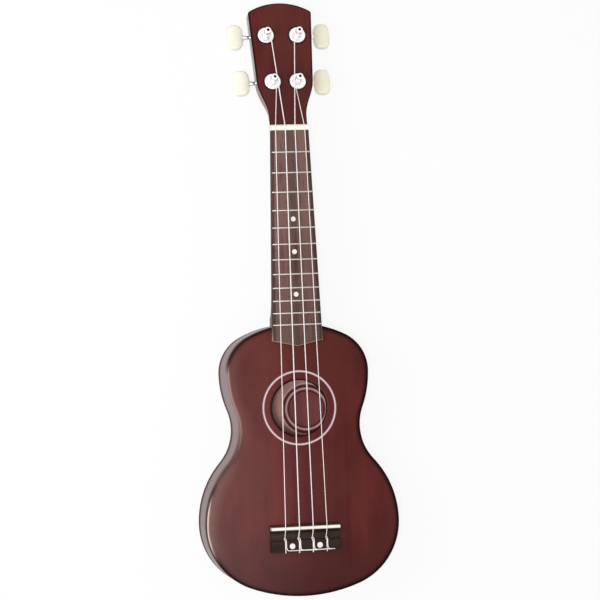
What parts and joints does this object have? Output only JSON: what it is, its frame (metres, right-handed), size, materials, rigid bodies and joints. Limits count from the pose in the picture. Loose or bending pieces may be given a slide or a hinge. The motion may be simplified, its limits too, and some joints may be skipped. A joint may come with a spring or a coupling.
{
  "type": "ukulele",
  "caption": "Soprano ukulele with a hollow waisted body, round sound hole, tilted headstock, tie bridge, nylon strings and worm-geared tuners whose buttons turn the string posts.",
  "frame": {"origin": "on the flat back, on the centre line, at the middle of the body's length", "axes": "+Y toward the headstock, +Z out of the soundboard, +X to the side of the a string"},
  "size_m": [0.174, 0.5327, 0.0662],
  "materials": {
    "body_wood": "satin stain",
    "neck_wood": "satin stain",
    "inner_wood": "raw",
    "fretboard_wood": "oiled",
    "bridge_wood": "oiled",
    "inlay": "polished",
    "bone_plastic": "polished",
    "nylon": "smooth",
    "fret_metal": "polished",
    "plated_metal": "plated",
    "gear_brass": "cut",
    "button_plastic": "polished"
  },
  "bodies": {
    "instrument": {"soundboard": "body_wood", "back": "body_wood", "side_bass": "body_wood", "side_treble": "body_wood", "neck_block": "inner_wood", "tail_block": "inner_wood", "top_lining_bass": "inner_wood", "top_lining_treble": "inner_wood", "back_lining_bass": "inner_wood", "back_lining_treble": "inner_wood", "upper_top_brace": "inner_wood", "lower_top_brace": "inner_wood", "upper_back_brace": "inner_wood", "lower_back_brace": "inner_wood", "bridge_plate": "inner_wood", "neck_dowels": "inner_wood", "rosette": "inlay", "neck": "neck_wood", "fretboard": "fretboard_wood", "frets": "fret_metal", "position_dots": "inlay", "nut": "bone_plastic", "bridge": "bridge_wood", "saddle": "bone_plastic", "bridge_dots": "inlay", "tuner_screws": "plated_metal", "string_g": "nylon", "string_c": "nylon", "string_e": "nylon", "string_a": "nylon", "ferrule_g": "plated_metal", "ferrule_c": "plated_metal", "ferrule_e": "plated_metal", "ferrule_a": "plated_metal", "tuner_plate_g": "plated_metal", "tuner_plate_c": "plated_metal", "tuner_plate_e": "plated_metal", "tuner_plate_a": "plated_metal"},
    "tuner_key_g": {"worm_shaft_g": "plated_metal", "button_g": "button_plastic"},
    "tuner_post_g": {"post_g": "plated_metal", "gear_g": "gear_brass", "gear_screw_g": "plated_metal"},
    "tuner_key_c": {"worm_shaft_c": "plated_metal", "button_c": "button_plastic"},
    "tuner_post_c": {"post_c": "plated_metal", "gear_c": "gear_brass", "gear_screw_c": "plated_metal"},
    "tuner_key_e": {"worm_shaft_e": "plated_metal", "button_e": "button_plastic"},
    "tuner_post_e": {"post_e": "plated_metal", "gear_e": "gear_brass", "gear_screw_e": "plated_metal"},
    "tuner_key_a": {"worm_shaft_a": "plated_metal", "button_a": "button_plastic"},
    "tuner_post_a": {"post_a": "plated_metal", "gear_a": "gear_brass", "gear_screw_a": "plated_metal"}
  },
  "joints": [
    {"name": "key_turn_g", "type": "hinge", "parent": "instrument", "child": "tuner_key_g", "pos_m": [-0.0295, 0.33897, 0.0263], "axis": [-1, 0, 0], "continuous": true},
    {"name": "post_turn_g", "type": "hinge", "parent": "instrument", "child": "tuner_post_g", "pos_m": [-0.0114, 0.33824, 0.04473], "axis": [0, 0.225, 0.9744], "continuous": true},
    {"name": "key_turn_c", "type": "hinge", "parent": "instrument", "child": "tuner_key_c", "pos_m": [-0.03245, 0.38194, 0.01638], "axis": [-1, 0, 0], "continuous": true},
    {"name": "post_turn_c", "type": "hinge", "parent": "instrument", "child": "tuner_post_c", "pos_m": [-0.01435, 0.38121, 0.03481], "axis": [0, 0.225, 0.9744], "continuous": true},
    {"name": "key_turn_e", "type": "hinge", "parent": "instrument", "child": "tuner_key_e", "pos_m": [0.03245, 0.38194, 0.01638], "axis": [1, 0, 0], "continuous": true},
    {"name": "post_turn_e", "type": "hinge", "parent": "instrument", "child": "tuner_post_e", "pos_m": [0.01435, 0.38121, 0.03481], "axis": [0, 0.225, 0.9744], "continuous": true},
    {"name": "key_turn_a", "type": "hinge", "parent": "instrument", "child": "tuner_key_a", "pos_m": [0.0295, 0.33897, 0.0263], "axis": [1, 0, 0], "continuous": true},
    {"name": "post_turn_a", "type": "hinge", "parent": "instrument", "child": "tuner_post_a", "pos_m": [0.0114, 0.33824, 0.04473], "axis": [0, 0.225, 0.9744], "continuous": true}
  ],
  "couplings": [
    {"joint": "post_turn_g", "follows": "key_turn_g", "ratio": 0.083333},
    {"joint": "post_turn_c", "follows": "key_turn_c", "ratio": 0.083333},
    {"joint": "post_turn_e", "follows": "key_turn_e", "ratio": 0.083333},
    {"joint": "post_turn_a", "follows": "key_turn_a", "ratio": 0.083333}
  ]
}
